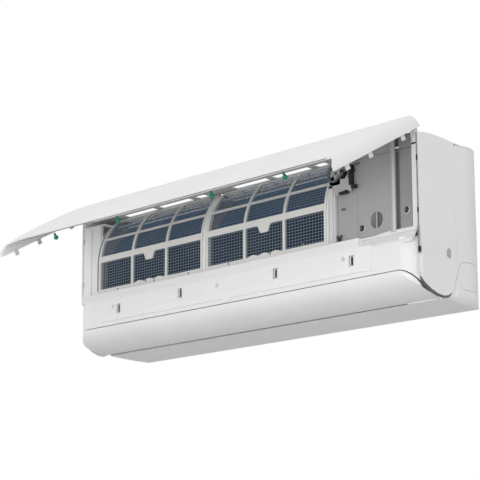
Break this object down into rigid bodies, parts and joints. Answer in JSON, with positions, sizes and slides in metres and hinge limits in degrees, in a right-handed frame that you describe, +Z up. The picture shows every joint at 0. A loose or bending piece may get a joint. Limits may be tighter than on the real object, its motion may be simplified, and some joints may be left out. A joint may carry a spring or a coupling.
{
  "type": "mini split indoor unit",
  "caption": "Wall-mounted air conditioner indoor unit with a hinged front panel, curved air filters, a cross-flow fan, an air flap and swinging louvers.",
  "frame": {"origin": "centre of the wall face of the mounting plate, at mid-height of the body", "axes": "+X to the right along the width, +Y towards the wall, +Z up"},
  "size_m": [0.9, 0.3777, 0.3026],
  "materials": {
    "shell": "satin white moulding",
    "side": "satin white moulding",
    "frame": "fine-grained white moulding",
    "inner": "light grey moulding",
    "filter": "warm light grey moulding",
    "net": "fine woven net",
    "fins": "blue-coated fins",
    "tin": "zinc-plated sheet",
    "copper": "bare copper",
    "steel": "plated steel",
    "fan": "dark moulding",
    "rubber": "matt",
    "board": "lacquered board",
    "dark": "dark moulding",
    "blue": "blue part",
    "hooks": "deep green clip",
    "hose": "soft white hose"
  },
  "bodies": {
    "base": {"wall_plate": "tin", "rear_housing": "side", "air_scroll": "inner", "front_frame": "frame", "rail_cover": "frame", "top_grille": "side", "side_cover_left": "side", "side_cover_right": "side", "pipe_knockouts": "side", "control_cover": "tin", "control_box": "tin", "control_board": "board", "capacitor": "blue", "relay": "blue", "terminal_block": "dark", "box_screws": "steel", "rail_screws": "steel", "coil_front_lower": "fins", "coil_front_upper": "fins", "coil_rear": "fins", "coil_plate_left": "tin", "coil_plate_right": "tin", "tube_bends_left": "copper", "tube_bends_right": "copper", "drain_pan": "inner", "drain_spout": "inner", "drain_hose": "hose", "hose_cuff": "hose", "fan_motor": "dark", "motor_clamp": "inner", "fan_bush": "rubber", "flap_motor": "steel", "cable_guide": "frame", "lead_bracket": "tin", "black_leads": "rubber", "gas_pipe": "copper", "liquid_pipe": "copper"},
    "panel": {"panel_shell": "shell", "panel_liner": "inner", "latch_hooks": "hooks", "panel_pins": "inner"},
    "flap": {"flap_skin": "shell", "flap_liner": "inner", "flap_arms": "inner"},
    "fan": {"fan_wheel": "fan", "fan_shaft": "steel"},
    "filter_left": {"filter_frame_left": "filter", "filter_net_left": "net"},
    "filter_right": {"filter_frame_right": "filter", "filter_net_right": "net"},
    "louver_left_1": {"louver_left_1": "inner"},
    "louver_left_2": {"louver_left_2": "inner"},
    "louver_left_3": {"louver_left_3": "inner"},
    "louver_left_4": {"louver_left_4": "inner"},
    "link_left": {"link_bar_left": "inner"},
    "louver_right_1": {"louver_right_1": "inner"},
    "louver_right_2": {"louver_right_2": "inner"},
    "louver_right_3": {"louver_right_3": "inner"},
    "louver_right_4": {"louver_right_4": "inner"},
    "link_right": {"link_bar_right": "inner"}
  },
  "joints": [
    {"name": "panel_hinge", "type": "hinge", "parent": "base", "child": "panel", "pos_m": [0, -0.1712, 0.1331], "axis": [-1, 0, 0], "range_deg": [-61.35, 0]},
    {"name": "flap_turn", "type": "hinge", "parent": "base", "child": "flap", "pos_m": [0, -0.124, -0.118], "axis": [1, 0, 0], "range_deg": [0, 70]},
    {"name": "fan_spin", "type": "hinge", "parent": "base", "child": "fan", "pos_m": [0, -0.092, -0.022], "axis": [1, 0, 0], "continuous": true},
    {"name": "filter_left_swing", "type": "hinge", "parent": "base", "child": "filter_left", "pos_m": [-0.227, -0.1458, 0.1267], "axis": [-1, 0, 0], "range_deg": [0, 12]},
    {"name": "filter_right_swing", "type": "hinge", "parent": "base", "child": "filter_right", "pos_m": [0.093, -0.1458, 0.1267], "axis": [-1, 0, 0], "range_deg": [0, 12]},
    {"name": "louver_left_1_turn", "type": "hinge", "parent": "base", "child": "louver_left_1", "pos_m": [-0.101, -0.165, -0.06], "axis": [0, 0, 1], "range_deg": [-35, 35]},
    {"name": "louver_left_2_turn", "type": "hinge", "parent": "base", "child": "louver_left_2", "pos_m": [-0.173, -0.165, -0.06], "axis": [0, 0, 1], "range_deg": [-35, 35]},
    {"name": "louver_left_3_turn", "type": "hinge", "parent": "base", "child": "louver_left_3", "pos_m": [-0.245, -0.165, -0.06], "axis": [0, 0, 1], "range_deg": [-35, 35]},
    {"name": "louver_left_4_turn", "type": "hinge", "parent": "base", "child": "louver_left_4", "pos_m": [-0.317, -0.165, -0.06], "axis": [0, 0, 1], "range_deg": [-35, 35]},
    {"name": "link_left_turn", "type": "hinge", "parent": "louver_left_1", "child": "link_left", "pos_m": [-0.101, -0.13, -0.101], "axis": [0, 0, 1], "range_deg": [-35, 35]},
    {"name": "louver_right_1_turn", "type": "hinge", "parent": "base", "child": "louver_right_1", "pos_m": [-0.033, -0.165, -0.06], "axis": [0, 0, 1], "range_deg": [-35, 35]},
    {"name": "louver_right_2_turn", "type": "hinge", "parent": "base", "child": "louver_right_2", "pos_m": [0.039, -0.165, -0.06], "axis": [0, 0, 1], "range_deg": [-35, 35]},
    {"name": "louver_right_3_turn", "type": "hinge", "parent": "base", "child": "louver_right_3", "pos_m": [0.111, -0.165, -0.06], "axis": [0, 0, 1], "range_deg": [-35, 35]},
    {"name": "louver_right_4_turn", "type": "hinge", "parent": "base", "child": "louver_right_4", "pos_m": [0.183, -0.165, -0.06], "axis": [0, 0, 1], "range_deg": [-35, 35]},
    {"name": "link_right_turn", "type": "hinge", "parent": "louver_right_1", "child": "link_right", "pos_m": [-0.033, -0.13, -0.101], "axis": [0, 0, 1], "range_deg": [-35, 35]}
  ],
  "couplings": [
    {"joint": "louver_left_2_turn", "follows": "louver_left_1_turn", "ratio": 1},
    {"joint": "louver_left_3_turn", "follows": "louver_left_1_turn", "ratio": 1},
    {"joint": "louver_left_4_turn", "follows": "louver_left_1_turn", "ratio": 1},
    {"joint": "link_left_turn", "follows": "louver_left_1_turn", "ratio": -1},
    {"joint": "louver_right_2_turn", "follows": "louver_right_1_turn", "ratio": 1},
    {"joint": "louver_right_3_turn", "follows": "louver_right_1_turn", "ratio": 1},
    {"joint": "louver_right_4_turn", "follows": "louver_right_1_turn", "ratio": 1},
    {"joint": "link_right_turn", "follows": "louver_right_1_turn", "ratio": -1}
  ]
}
